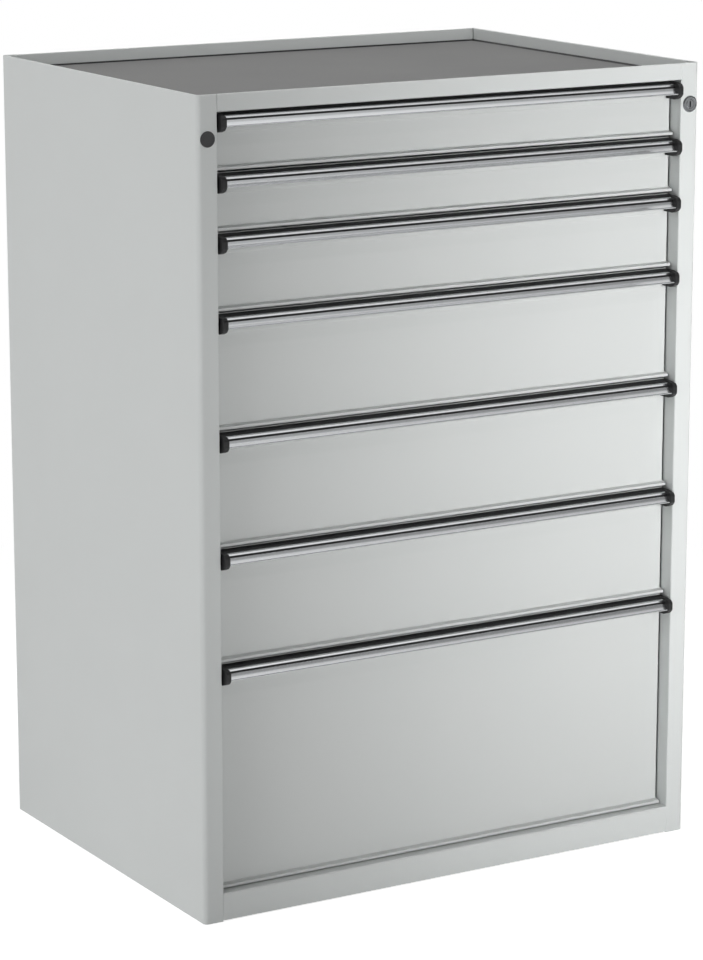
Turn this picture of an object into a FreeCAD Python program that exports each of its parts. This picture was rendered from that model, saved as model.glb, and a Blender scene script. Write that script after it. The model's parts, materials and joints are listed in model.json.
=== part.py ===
import FreeCAD, Part
import os
import Sketcher
from types import SimpleNamespace
from FreeCAD import Placement, Rotation, Vector

# A steel drawer cabinet: a welded housing with folded corner posts, a rimmed top with a mat, seven drawers
# on telescopic runners with full-width grips, and a cylinder lock that holds all drawers with one bar.
# Lengths are in millimetres. X runs to the right, Y to the back and Z up. The origin lies on the floor,
# under the middle of the overall box, so the grips' front plane and the back are equally far from it.

# Driving sizes
SIZES = {
    # Housing
    "housing_width": 750,
    "housing_depth": 550,
    "sheet_thickness": 1.5,
    "corner_bend": 6,
    "small_bend": 2,
    "inside_bend": 0.5,
    "post_width": 28,
    "post_return": 24,
    "rear_flange": 20,
    "seam_gap": 0.4,
    "rim_hem": 10,
    "rim_round": 1.2,
    "corner_relief": 3,
    "top_face": 22,
    "mat_thickness": 3,
    "mat_joint": 0.8,
    "mat_corner": 3,
    "base_top": 38,
    "base_lift": 1.5,
    "base_return": 24,
    "base_lap": 10,
    "bottom_flange": 20,
    # Fronts, from the shallowest
    "shallow_front": 75,
    "low_front": 100,
    "middle_front": 150,
    "deep_front": 300,
    # Drawer front
    "front_sheet": 1.2,
    "front_side_gap": 2,
    "front_top_gap": 2,
    "front_setback": 22,
    "front_return": 12,
    "lip_gap": 1.5,
    "lip_height": 6,
    "lip_reach": 7.5,
    "lip_tip": 1.5,
    "recess_drop": 24,
    "recess_height": 18,
    "recess_depth": 2,
    # Grip
    "grip_proud": 8,
    "grip_top_gap": 3,
    "grip_height": 22.5,
    "cheek_width": 7.2,
    "cheek_round": 3,
    # Tray and runners
    "tray_sheet": 1.2,
    "tray_under_gap": 4,
    "tray_top_gap": 15,
    "tray_overhang": 5,
    "rail_length": 480,
    "rail_setback": 36,
    "rail_centre": 30,
    "rail_sheet": 1.8,
    "rail_play": 0.4,
    "drawer_rail_height": 31.2,
    "drawer_rail_depth": 15.6,
    "middle_rail_gap": 4,
    "fixed_rail_gap": 8,
    "rail_space": 23,
    # Uprights
    "upright_depth": 24.5,
    "upright_width": 30,
    "upright_setback": 31,
    "upright_end_inset": 10,
    # Lock and blanking plug
    "lock_drop": 54.3,
    "lock_edge": 14,
    "lock_head": 22,
    "lock_head_proud": 1.8,
    "lock_body": 19,
    "lock_body_length": 17,
    "lock_core_diameter": 12,
    "lock_play": 0.1,
    "keyway_width": 2,
    "keyway_height": 8,
    "keyway_depth": 5,
    "clip_thickness": 2,
    "clip_leg": 3,
    "clip_web": 2.2,
    "clip_reach": 7,
    "cam_gap": 0.3,
    "cam_thickness": 2,
    "cam_width": 7,
    "cam_arm": 8,
    "cam_pin": 4,
    "cam_pin_length": 3,
    "plug_head": 20,
    "plug_head_proud": 1.5,
    "plug_shank": 17,
    "plug_shank_length": 6,
    # Lock bar
    "bar_thickness": 2,
    "bar_width": 18.5,
    "bar_foot": 7,
    "bar_gap": 0.3,
    "ear_thickness": 2,
    "ear_gap": 0.5,
    "ear_above": 6,
    "ear_below": 8,
    "slot_play": 0.3,
    "slot_ease": 2,
    "tab_drop": 16,
    "tab_height": 6,
    "tab_thickness": 3,
    "tab_reach": 4.5,
    "tab_gap": 0.6,
    "catch_play": 1,
    # How far a cut runs past what it goes through
    "overrun": 2,
}
DRAWER_FRONTS = ("shallow_front", "shallow_front", "low_front", "middle_front", "middle_front",
                 "middle_front", "deep_front")
LEFT, RIGHT = -1, 1
SIDES = ((LEFT, "left"), (RIGHT, "right"))
# How near two places or directions are when they count as the same
NEAR = 1e-4

# Outlines of the grip, as shares of its depth, measured back from its front plane, and of its height,
# measured up from its lower edge. The third number is the corner's rounding, as a share of the height.
GRIP_BODY_SHARES = (
    (1.0, 1.0, 0), (0.585, 1.0, 0.07), (0.515, 0.915, 0), (0.515, 0.78, 0), (0.385, 0.6175, 0),
    (0.43, 0.56, 0), (0.585, 0.75, 0), (0.61, 0.885, 0), (0.93, 0.885, 0), (0.93, 0.0, 0), (1.0, 0.0, 0),
)
STRIP_SHARES = (
    (0.515, 0.915, 0), (0.43, 0.91, 0.05), (0.365, 0.835, 0.05), (0.362, 0.765, 0.02), (0.41, 0.72, 0),
    (0.325, 0.63, 0), (0.272, 0.648, 0.015), (0.215, 0.55, 0.25), (0.05, 0.4, 0.03), (0.025, 0.355, 0.02),
    (0.06, 0.318, 0.02), (0.11, 0.34, 0), (0.255, 0.455, 0), (0.515, 0.78, 0),
)
CHEEK_SHARES = (
    (1.0, 1.0, 0), (0.45, 1.0, 0.5), (0.12, 0.93, 0.25), (0.0, 0.8, 0.2), (0.0, 0.33, 0.3), (0.13, 0.13, 0.4),
    (0.38, 0.0, 0.5), (1.0, 0.0, 0),
)

doc = FreeCAD.newDocument("DrawerCabinet")
sheet = doc.addObject("Spreadsheet::Sheet", "Sizes")


class Length:
    """A number with the sheet expression that gives it, so that a sketch can start where it will end."""

    def __init__(self, number, text):
        self.number = number
        self.text = text

    def __add__(self, other):
        return Length(self.number + other.number, f"({self.text} + {other.text})")

    def __sub__(self, other):
        return Length(self.number - other.number, f"({self.text} - {other.text})")

    def __neg__(self):
        return Length(-self.number, f"(0 - {self.text})")

    def __mul__(self, share):
        return Length(self.number * share, f"({self.text} * {share})")

    def __truediv__(self, share):
        return Length(self.number / share, f"({self.text} / {share})")


def fill_sheet():
    """Writes each driving size into the sheet and returns them as lengths by name."""
    lengths = {}
    for row, (alias, number) in enumerate(SIZES.items(), start=1):
        sheet.set(f"A{row}", alias)
        sheet.set(f"B{row}", str(number))
        sheet.setAlias(f"B{row}", alias)
        lengths[alias] = Length(number, f"Sizes.{alias}")
    doc.recompute()
    return SimpleNamespace(**lengths)


s = fill_sheet()
ZERO = Length(0, "0")
nodes = []


# Construction helpers
def node(piece, label):
    """Marks a finished piece: its label names its file."""
    piece.Label = label
    nodes.append(piece)
    return piece


def place(piece, x, y, z):
    """Binds a piece's position to the sheet."""
    for axis, length in zip("xyz", (x, y, z)):
        piece.setExpression(f"Placement.Base.{axis}", length.text)


def box(name, low, high):
    """A block between its lowest and highest corner."""
    made = doc.addObject("Part::Box", name)
    for side, start, end in zip(("Length", "Width", "Height"), low, high):
        made.setExpression(side, (end - start).text)
    place(made, *low)
    return made


def disc(name, centre_x, start_y, centre_z, diameter, length):
    """A cylinder that starts at start_y and runs to the back."""
    made = doc.addObject("Part::Cylinder", name)
    made.Placement = Placement(Vector(), Rotation(Vector(1, 0, 0), -90))
    made.setExpression("Radius", (diameter / 2).text)
    made.setExpression("Height", length.text)
    place(made, centre_x, start_y, centre_z)
    return made


def fuse(name, pieces):
    made = doc.addObject("Part::MultiFuse", name)
    made.Shapes = pieces
    made.Refine = True
    return made


def cut(name, base, tools):
    made = doc.addObject("Part::Cut", name)
    made.Base = base
    made.Tool = tools[0] if len(tools) == 1 else fuse(name + "_tools", tools)
    made.Refine = True
    return made


def group(name, pieces):
    """Like pieces that share one node as separate solids."""
    made = doc.addObject("Part::Compound", name)
    made.Links = pieces
    return made


def extrusion(name, role, outline, length, base):
    """A body: a closed outline of straight sides, drawn on an origin plane and padded along its axis."""
    body = doc.addObject("PartDesign::Body", name)
    sketch = body.newObject("Sketcher::SketchObject", name + "_outline")
    plane = next(feature for feature in body.Origin.OriginFeatures if feature.Role == role)
    sketch.AttachmentSupport = (plane, [""])
    sketch.MapMode = "FlatFace"
    corners = [Vector(x.number, y.number, 0) for x, y in outline]
    count = len(corners)
    sides = [Part.LineSegment(corners[i], corners[(i + 1) % count]) for i in range(count)]
    sketch.addGeometry(sides, False)
    sketch.addConstraint([Sketcher.Constraint("Coincident", i, 2, (i + 1) % count, 1) for i in range(count)])
    for i, (x, y) in enumerate(outline):
        for kind, length_from_origin in (("DistanceX", x), ("DistanceY", y)):
            index = sketch.addConstraint(Sketcher.Constraint(kind, -1, 1, i, 1, length_from_origin.number))
            sketch.setExpression(f"Constraints[{index}]", length_from_origin.text)
    pad = body.newObject("PartDesign::Pad", name + "_pad")
    pad.Profile = sketch
    pad.Reversed = role == "XZ_Plane"
    pad.setExpression("Length", length.text)
    place(body, *base)
    return body


def round_edges(body, name, wanted, radius):
    """Rounds the edges of a body's last feature for which wanted(edge) holds."""
    doc.recompute()
    tip = body.Tip
    names = [f"Edge{i}" for i, edge in enumerate(tip.Shape.Edges, start=1) if wanted(edge)]
    if not names:
        raise ValueError(f"{name}: no edge to round")
    fillet = body.newObject("PartDesign::Fillet", name)
    fillet.Base = (tip, names)
    fillet.setExpression("Radius", radius.text)
    body.Tip = fillet


def along(edge, axis):
    """True for a straight edge that runs along an axis."""
    if edge.Curve.TypeId != "Part::GeomLine":
        return False
    direction = edge.tangentAt(edge.FirstParameter)
    return abs(getattr(direction, axis)) > 1 - NEAR


def passes(edge, **at):
    """True if an edge's middle lies at the given coordinates."""
    middle = edge.valueAt((edge.FirstParameter + edge.LastParameter) / 2)
    return all(abs(getattr(middle, axis) - length.number) < NEAR for axis, length in at.items())


def edges_at(axis, *places):
    """A test for straight edges along an axis whose middles lie at one of the given places."""
    return lambda edge: along(edge, axis) and any(passes(edge, **at) for at in places)


def round_rim(name, base, radius, wanted):
    """Rounds chosen edges of a joined piece."""
    doc.recompute()
    made = doc.addObject("Part::Fillet", name)
    made.Base = base
    made.Edges = [(i, radius.number, radius.number)
                  for i, edge in enumerate(base.Shape.Edges, start=1) if wanted(edge)]
    return made


def mirrored(outline, width):
    """The same outline with its left and right sides changed over."""
    return [(width - x, y) for x, y in reversed(outline)]


def across(side, inner, outer):
    """Low and high X of a stretch between two distances from the middle, on the left or the right."""
    return (inner, outer) if side == RIGHT else (-outer, -inner)


# Places that several pieces share
t = s.sheet_thickness
half_width = s.housing_width / 2
inner_half = half_width - t
front = s.grip_proud - (s.housing_depth + s.grip_proud) / 2
back = front + s.housing_depth
mouth_half = half_width - s.post_width
pitches = [getattr(s, name) for name in DRAWER_FRONTS]
top_level = sum(pitches, s.base_top)
housing_top = top_level + s.top_face
post_back = front + s.post_return
hem_bottom = housing_top - s.rim_hem
lock_height = housing_top - s.lock_drop
lock_x = half_width - s.lock_edge

face = front + s.front_setback
face_back = face + s.recess_depth + s.front_sheet
front_half = mouth_half - s.front_side_gap
tray_half = inner_half - s.upright_depth - s.rail_space
rail_front = front + s.rail_setback
rail_back = rail_front + s.rail_length
grip_front = front - s.grip_proud
grip_depth = face - grip_front


def slot_bottom(number):
    """Height of the bottom of a drawer's slot, counted from drawer 1 at the top."""
    return sum(pitches[number:], s.base_top)


def slot_top(number):
    return slot_bottom(number - 1)


def tab_bottom(number):
    """Height of the lock bar's tab beside a drawer, when the drawers are free."""
    return slot_top(number) - s.tab_drop


# Housing
def make_side_panel(side, name):
    """A side wall with its front post, rear flange and hemmed rim, folded from one sheet."""
    width = s.post_width
    outline = [
        (ZERO, ZERO), (width, ZERO), (width, s.post_return), (width - t, s.post_return), (width - t, t),
        (t, t), (t, s.housing_depth - t), (s.rear_flange, s.housing_depth - t),
        (s.rear_flange, s.housing_depth), (ZERO, s.housing_depth),
    ]
    if side == RIGHT:
        outline = mirrored(outline, width)
    low_x, _ = across(side, mouth_half, half_width)
    wall = extrusion(name + "_wall", "XY_Plane", outline, housing_top, (low_x, front, ZERO))

    bends = (
        ("corner_bend", ZERO, ZERO, s.corner_bend),
        ("corner_bend_inside", t, t, s.corner_bend - t),
        ("post_bend", width, ZERO, s.small_bend),
        ("post_bend_inside", width - t, t, s.inside_bend),
        ("rear_bend", ZERO, s.housing_depth, s.small_bend),
        ("rear_bend_inside", t, s.housing_depth - t, s.inside_bend),
    )
    for bend, x, y, radius in bends:
        sketch_x = width - x if side == RIGHT else x
        round_edges(wall, f"{name}_{bend}", edges_at("z", {"x": sketch_x, "y": y}), radius)

    hem_x = across(side, inner_half - t, inner_half)
    hem = box(name + "_hem", (hem_x[0], post_back, hem_bottom),
              (hem_x[1], back - t * 2 - s.corner_relief, housing_top))
    return_x = across(side, mouth_half - s.overrun, inner_half - s.corner_bend)
    above_return = box(name + "_above_return", (return_x[0], front + t, top_level),
                       (return_x[1], post_back + s.overrun, housing_top + s.overrun))
    hole_diameter = s.lock_body + s.lock_play if side == RIGHT else s.plug_shank + s.lock_play
    hole = disc(name + "_hole", lock_x * side, front - s.overrun, lock_height, hole_diameter,
                t + s.overrun * 2)
    panel = cut(name + "_cut", fuse(name + "_joined", [wall, hem]), [above_return, hole])
    rims = edges_at("y", {"x": half_width * side, "z": housing_top},
                    {"x": (inner_half - t) * side, "z": housing_top})
    node(round_rim(name, panel, s.rim_round, rims), name)


def make_back_panel():
    """A flat sheet inside the side walls' rear flanges, clear of their bends and hemmed along its top."""
    outside, inside = back - t, back - t * 2
    plate_half = inner_half - s.inside_bend
    plate = box("back_plate", (-plate_half, inside, ZERO), (plate_half, outside, housing_top))
    hem_half = inner_half - s.corner_relief
    hem = box("back_hem", (-hem_half, inside - t, hem_bottom), (hem_half, inside, housing_top))
    joined = fuse("back_joined", [plate, hem])
    rims = edges_at("x", {"y": outside, "z": housing_top}, {"y": inside - t, "z": housing_top})
    node(round_rim("back_panel", joined, s.rim_round, rims), "back_panel")


def make_top_panel():
    """The sunk top: a plate with a high front face between the posts and low flanges at the other sides."""
    face_half = mouth_half - s.seam_gap
    inside = back - t * 2
    flange_top = hem_bottom - s.seam_gap
    flange_back = inside - t - s.corner_relief
    plate = box("top_plate", (-inner_half, front + t, top_level), (inner_half, inside, top_level + t))
    pieces = [
        round_rim("top_plate_rounded", plate, s.corner_bend, edges_at(
            "z", {"x": -inner_half, "y": front + t}, {"x": inner_half, "y": front + t})),
        box("top_face_sheet", (-face_half, front, top_level), (face_half, front + t, housing_top)),
        box("top_face_hem", (-face_half, front + t, hem_bottom), (face_half, front + t * 2, housing_top)),
        box("top_back_flange", (s.corner_relief - inner_half, inside - t, top_level + t),
            (inner_half - s.corner_relief, inside, flange_top)),
    ]
    for side, word in SIDES:
        low_x, high_x = across(side, inner_half - t, inner_half)
        pieces.append(box(f"top_{word}_flange", (low_x, post_back, top_level + t),
                          (high_x, flange_back, flange_top)))
    joined = fuse("top_joined", pieces)
    rims = edges_at("x", {"y": front, "z": housing_top}, {"y": front + t * 2, "z": housing_top})
    rimmed = round_rim("top_rims", joined, s.rim_round, rims)
    bend = edges_at("x", {"y": front, "z": top_level})
    node(round_rim("top_panel", rimmed, s.small_bend, bend), "top_panel")


def make_top_mat():
    """The mat that lies loose in the top."""
    half = inner_half - t - s.mat_joint
    low_y, high_y = front + t * 2 + s.mat_joint, back - t * 3 - s.mat_joint
    plate = box("mat_plate", (-half, low_y, top_level + t), (half, high_y, top_level + t + s.mat_thickness))
    node(round_rim("top_mat", plate, s.mat_corner, lambda edge: along(edge, "z")), "top_mat")


def make_base():
    """The plinth rail between the posts and the bottom panel that lies under its return."""
    rail_half = mouth_half - s.seam_gap
    rail = fuse("base_rail_joined", [
        box("base_rail_face", (-rail_half, front, s.base_lift), (rail_half, front + t, s.base_top)),
        box("base_rail_return", (-rail_half, front + t, s.base_top - t),
            (rail_half, front + s.base_return, s.base_top)),
    ])
    bend = edges_at("x", {"y": front, "z": s.base_top})
    node(round_rim("base_front_rail", rail, s.small_bend, bend), "base_front_rail")

    plate_bottom, plate_top = s.base_top - t * 2, s.base_top - t
    pieces = [
        box("bottom_plate", (-inner_half, post_back, plate_bottom), (inner_half, back - t * 2, plate_top)),
        box("bottom_tongue", (-rail_half, front + s.base_return - s.base_lap, plate_bottom),
            (rail_half, post_back, plate_top)),
        box("bottom_back_flange", (t - inner_half, back - t * 3, plate_bottom - s.bottom_flange),
            (inner_half - t, back - t * 2, plate_bottom)),
    ]
    for side, word in SIDES:
        low_x, high_x = across(side, inner_half - t, inner_half)
        pieces.append(box(f"bottom_{word}_flange", (low_x, post_back, plate_bottom - s.bottom_flange),
                          (high_x, back - t * 2, plate_bottom)))
    node(fuse("bottom_panel", pieces), "bottom_panel")


def channel(name, role, web_first, width, height, wall, length, base):
    """A channel with its web on the low or the high side of its width."""
    outline = [
        (ZERO, ZERO), (width, ZERO), (width, wall), (wall, wall), (wall, height - wall),
        (width, height - wall), (width, height), (ZERO, height),
    ]
    if not web_first:
        outline = mirrored(outline, width)
    return extrusion(name, role, outline, length, base)


def make_uprights():
    """A front and a rear pair of channels on the side walls, which carry the fixed rails."""
    floor = s.base_top - t
    starts = (
        ("uprights_front", front + s.upright_setback),
        ("uprights_rear", rail_back - s.upright_end_inset - s.upright_width),
    )
    for name, start in starts:
        pair = []
        for side, word in SIDES:
            low_x, _ = across(side, inner_half - s.upright_depth, inner_half)
            pair.append(channel(f"{name}_{word}", "XY_Plane", side == RIGHT, s.upright_depth,
                                s.upright_width, t, top_level - floor, (low_x, start, floor)))
        node(group(name, pair), name)


# Runners
def rail(name, side, start, end, half_height, opens_out, centre_z):
    """One rail of a runner, between two distances out from the tray's wall."""
    low_x, _ = across(side, tray_half + start, tray_half + end)
    return channel(name, "XZ_Plane", (side == RIGHT) == opens_out, end - start, half_height * 2, s.rail_sheet,
                   s.rail_length, (low_x, rail_front, centre_z - half_height))


middle_web_inside = s.drawer_rail_depth + s.rail_play
middle_half_height = s.drawer_rail_height / 2 + s.rail_play + s.rail_sheet
fixed_half_height = middle_half_height + s.rail_play + s.rail_sheet


def rail_height(number):
    return slot_bottom(number) + s.rail_centre


def make_fixed_rails():
    """The cabinet's rails, one each side of every drawer."""
    for side, word in SIDES:
        rails = [
            rail(f"fixed_rail_{word}_{number}", side, s.fixed_rail_gap, s.rail_space, fixed_half_height,
                 False, rail_height(number))
            for number in range(1, len(pitches) + 1)
        ]
        node(group(f"fixed_rails_{word}", rails), f"fixed_rails_{word}")


def make_moving_rails(number):
    """A drawer's own rails and the middle rails between them and the cabinet's."""
    drawer_rails, middle_rails = [], []
    for side, word in SIDES:
        drawer_rails.append(rail(f"drawer_rail_{word}_{number}", side, ZERO, s.drawer_rail_depth,
                                 s.drawer_rail_height / 2, True, rail_height(number)))
        middle_rails.append(rail(f"middle_rail_{word}_{number}", side, s.middle_rail_gap,
                                 middle_web_inside + s.rail_sheet, middle_half_height, False,
                                 rail_height(number)))
    node(group(f"drawer_rails_{number}", drawer_rails), f"drawer_{number}_drawer_rails")
    node(group(f"middle_rails_{number}", middle_rails), f"drawer_{number}_middle_rails")


# Drawers
tab_back = post_back + s.tab_gap + s.tab_thickness


def make_front(number):
    """A drawer front: a sheet with a flared lower lip, a shallow recess under the grip and folded sides."""
    bottom = slot_bottom(number) + s.lip_gap
    height = pitches[number - 1] - s.lip_gap - s.front_top_gap
    wall, reach = s.front_sheet, s.lip_reach
    recess_top = height + s.front_top_gap - s.grip_top_gap - s.recess_drop
    recess_bottom = recess_top - s.recess_height
    outer = [
        (ZERO, ZERO), (ZERO, s.lip_tip), (reach, s.lip_height), (reach, recess_bottom),
        (reach + s.recess_depth, recess_bottom + s.recess_depth),
        (reach + s.recess_depth, recess_top - s.recess_depth), (reach, recess_top), (reach, height),
    ]
    inner = [(x + wall, z) for x, z in reversed(outer[3:])]
    inner += [(reach + wall, s.lip_height - s.lip_tip), (s.lip_tip, ZERO)]
    skin = extrusion(f"front_skin_{number}", "YZ_Plane", outer + inner, front_half * 2,
                     (-front_half, face - reach, bottom))
    pieces = [skin]
    for side, word in SIDES:
        low_x, high_x = across(side, front_half - wall, front_half)
        pieces.append(box(f"front_return_{word}_{number}", (low_x, face, bottom + s.lip_height),
                          (high_x, face + s.front_return, bottom + height)))
    joined = fuse(f"front_joined_{number}", pieces)

    tab_low = tab_bottom(number)
    return_back = face + s.front_return
    low_x, high_x = front_half - wall - s.overrun, front_half + s.overrun
    window_top = tab_low + s.tab_height + s.catch_play
    window = box(f"catch_window_{number}", (low_x, face + wall, tab_low - s.cam_arm - s.catch_play),
                 (high_x, tab_back + s.slot_play, window_top))
    way_out = box(f"catch_way_out_{number}", (low_x, face + wall, tab_low - s.slot_play),
                  (high_x, return_back + s.overrun, window_top))
    node(cut(f"front_{number}", joined, [window, way_out]), f"drawer_{number}_front")


def make_tray(number):
    """The folded tray that hangs between the drawer's rails."""
    bottom = slot_bottom(number) + s.tray_under_gap
    top = slot_top(number) - s.tray_top_gap
    tray_back = rail_back + s.tray_overhang
    wall = s.tray_sheet
    outside = box(f"tray_outside_{number}", (-tray_half, face_back, bottom), (tray_half, tray_back, top))
    inside = box(f"tray_inside_{number}", (wall - tray_half, face_back + wall, bottom + wall),
                 (tray_half - wall, tray_back - wall, top + s.overrun))
    node(cut(f"tray_{number}", outside, [inside]), f"drawer_{number}_tray")


def grip_outline(shares):
    """Corners of a grip outline in lengths."""
    return [(grip_depth * depth, s.grip_height * height) for depth, height, _ in shares]


def grip_piece(name, shares, length, low_x, bottom):
    """A length of one of the grip's outlines, with its corners rounded."""
    body = extrusion(name, "YZ_Plane", grip_outline(shares), length, (low_x, grip_front, bottom))
    for i, (depth, height, rounding) in enumerate(shares):
        if rounding:
            corner = edges_at("x", {"y": grip_depth * depth, "z": s.grip_height * height})
            round_edges(body, f"{name}_corner_{i}", corner, s.grip_height * rounding)
    return body


def make_grip(number):
    """The black moulding across the front, with a cheek at each end, and the aluminium strip between them."""
    bottom = slot_top(number) - s.grip_top_gap - s.grip_height
    strip_half = front_half - s.cheek_width
    pieces = [grip_piece(f"grip_core_{number}", GRIP_BODY_SHARES, strip_half * 2, -strip_half, bottom)]
    for side, word in SIDES:
        name = f"grip_cheek_{word}_{number}"
        low_x, _ = across(side, strip_half, front_half)
        cheek = grip_piece(name, CHEEK_SHARES, s.cheek_width, low_x, bottom)
        outer_x = s.cheek_width if side == RIGHT else ZERO
        round_edges(cheek, name + "_outer_edge", edges_at("z", {"x": outer_x, "y": ZERO}), s.cheek_round)
        pieces.append(cheek)
    node(fuse(f"grip_body_{number}", pieces), f"drawer_{number}_grip_body")
    strip = grip_piece(f"grip_strip_{number}", STRIP_SHARES, strip_half * 2, -strip_half, bottom)
    node(strip, f"drawer_{number}_grip_strip")


# Lock
cam_start = front + s.lock_body_length + s.cam_gap
cam_end = cam_start + s.cam_thickness


def make_lock():
    """A cylinder lock in the right post: barrel, spring clip, turning core and the cam on the core's tail."""
    head_front = front - s.lock_head_proud
    head = disc("barrel_head", lock_x, head_front, lock_height, s.lock_head, s.lock_head_proud)
    shank = disc("barrel_shank", lock_x, front, lock_height, s.lock_body, s.lock_body_length)
    bore = disc("barrel_bore", lock_x, head_front - s.overrun, lock_height,
                s.lock_core_diameter + s.lock_play, s.lock_head_proud + s.lock_body_length + s.overrun * 2)
    node(cut("barrel", fuse("barrel_joined", [head, shank]), [bore]), "lock_barrel")

    half_opening = (s.lock_body + s.lock_play) / 2
    half_clip = half_opening + s.clip_leg
    clip_front = front + t
    clip_back = clip_front + s.clip_thickness
    clip = box("clip_plate", (lock_x - half_opening - s.clip_web, clip_front, lock_height - half_clip),
               (lock_x + s.clip_reach, clip_back, lock_height + half_clip))
    mouth = box("clip_mouth",
                (lock_x - half_opening, clip_front - s.overrun, lock_height - half_opening),
                (lock_x + s.clip_reach + s.overrun, clip_back + s.overrun, lock_height + half_opening))
    node(cut("clip", clip, [mouth]), "lock_clip")

    plug = disc("core_plug", lock_x, head_front, lock_height, s.lock_core_diameter, cam_start - head_front)
    half_keyway, half_keyway_height = s.keyway_width / 2, s.keyway_height / 2
    keyway = box("keyway",
                 (lock_x - half_keyway, head_front - s.overrun, lock_height - half_keyway_height),
                 (lock_x + half_keyway, head_front + s.keyway_depth, lock_height + half_keyway_height))
    node(cut("core", plug, [keyway]), "lock_core")

    arm = fuse("cam_joined", [
        disc("cam_hub", lock_x, cam_start, lock_height, s.lock_core_diameter, s.cam_thickness),
        box("cam_arm_plate", (lock_x, cam_start, lock_height - s.cam_width / 2),
            (lock_x + s.cam_arm, cam_end, lock_height + s.cam_width / 2)),
        disc("cam_tip", lock_x + s.cam_arm, cam_start, lock_height, s.cam_width, s.cam_thickness),
        disc("cam_pin", lock_x + s.cam_arm, cam_end, lock_height, s.cam_pin, s.cam_pin_length),
    ])
    node(arm, "lock_cam")


def make_lock_bar():
    """A flat bar behind the right post's return. Its ear takes the cam's pin, and a tab meets each drawer."""
    low_x = mouth_half + t + s.bar_gap
    high_x = low_x + s.bar_thickness
    bar_top = tab_bottom(1) + s.tab_height
    ear_start = cam_end + s.cam_gap
    ear_end = ear_start + s.ear_thickness
    pieces = [
        box("bar_strip", (low_x, tab_back - s.bar_width, s.base_top + s.bar_foot),
            (high_x, tab_back, bar_top)),
        box("bar_ear", (low_x, ear_start, lock_height - s.ear_below),
            (inner_half - s.ear_gap, ear_end, lock_height + s.ear_above)),
    ]
    for number in range(1, len(pitches) + 1):
        tab_low = tab_bottom(number)
        pieces.append(box(f"bar_tab_{number}",
                          (mouth_half - s.tab_reach, tab_back - s.tab_thickness, tab_low),
                          (low_x, tab_back, tab_low + s.tab_height)))
    pin_room = s.cam_pin / 2 + s.slot_play
    slot = box("ear_slot",
               (lock_x - pin_room, ear_start - s.overrun, lock_height - pin_room - s.slot_ease),
               (lock_x + s.cam_arm + pin_room, ear_end + s.overrun, lock_height + pin_room))
    node(cut("bar", fuse("bar_joined", pieces), [slot]), "lock_bar")


def make_plug():
    """The plug that closes the left post's spare lock hole."""
    cap_front = front - s.plug_head_proud
    head = disc("plug_cap", -lock_x, cap_front, lock_height, s.plug_head, s.plug_head_proud)
    shank = disc("plug_stem", -lock_x, front, lock_height, s.plug_shank, s.plug_shank_length)
    joined = fuse("plug_joined", [head, shank])

    def cap_rim(edge):
        is_circle = edge.Curve.TypeId == "Part::GeomCircle"
        return is_circle and abs(edge.CenterOfMass.y - cap_front.number) < NEAR

    node(round_rim("blanking_plug", joined, s.plug_head_proud / 2, cap_rim), "blanking_plug")


def check_and_export():
    """Stops on any failed object or bad shape, then writes one file per piece."""
    doc.recompute()
    for item in doc.Objects:
        if "Invalid" in item.State or "Error" in item.State:
            raise RuntimeError(f"{item.Label} failed: {item.State}")
    for piece in nodes:
        if piece.Shape.isNull() or not piece.Shape.isValid():
            raise RuntimeError(f"{piece.Label} has no valid shape")
    os.makedirs("parts", exist_ok=True)
    for piece in nodes:
        piece.Shape.exportStep(f"parts/{piece.Label}.step")
        print(piece.Label, len(piece.Shape.Solids), round(piece.Shape.Volume))


make_side_panel(LEFT, "side_panel_left")
make_side_panel(RIGHT, "side_panel_right")
make_back_panel()
make_top_panel()
make_top_mat()
make_base()
make_uprights()
make_fixed_rails()
make_lock()
make_lock_bar()
make_plug()
for drawer in range(1, len(pitches) + 1):
    make_front(drawer)
    make_tray(drawer)
    make_grip(drawer)
    make_moving_rails(drawer)
check_and_export()
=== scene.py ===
# %% [markdown]
# # A steel drawer cabinet, dressed for its picture
# The cabinet's construction is done: every sheet, runner and lock part lies at its real size and place.
# This lesson gives it its looks in Blender. It goes in the order of a paint shop and a photo studio: first
# the finishes, then the pieces that need a finer form than the construction gives them, then light and
# camera.

# %% Load the construction
import json
import math

import bmesh
import bpy
from mathutils import Matrix, Vector

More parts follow.
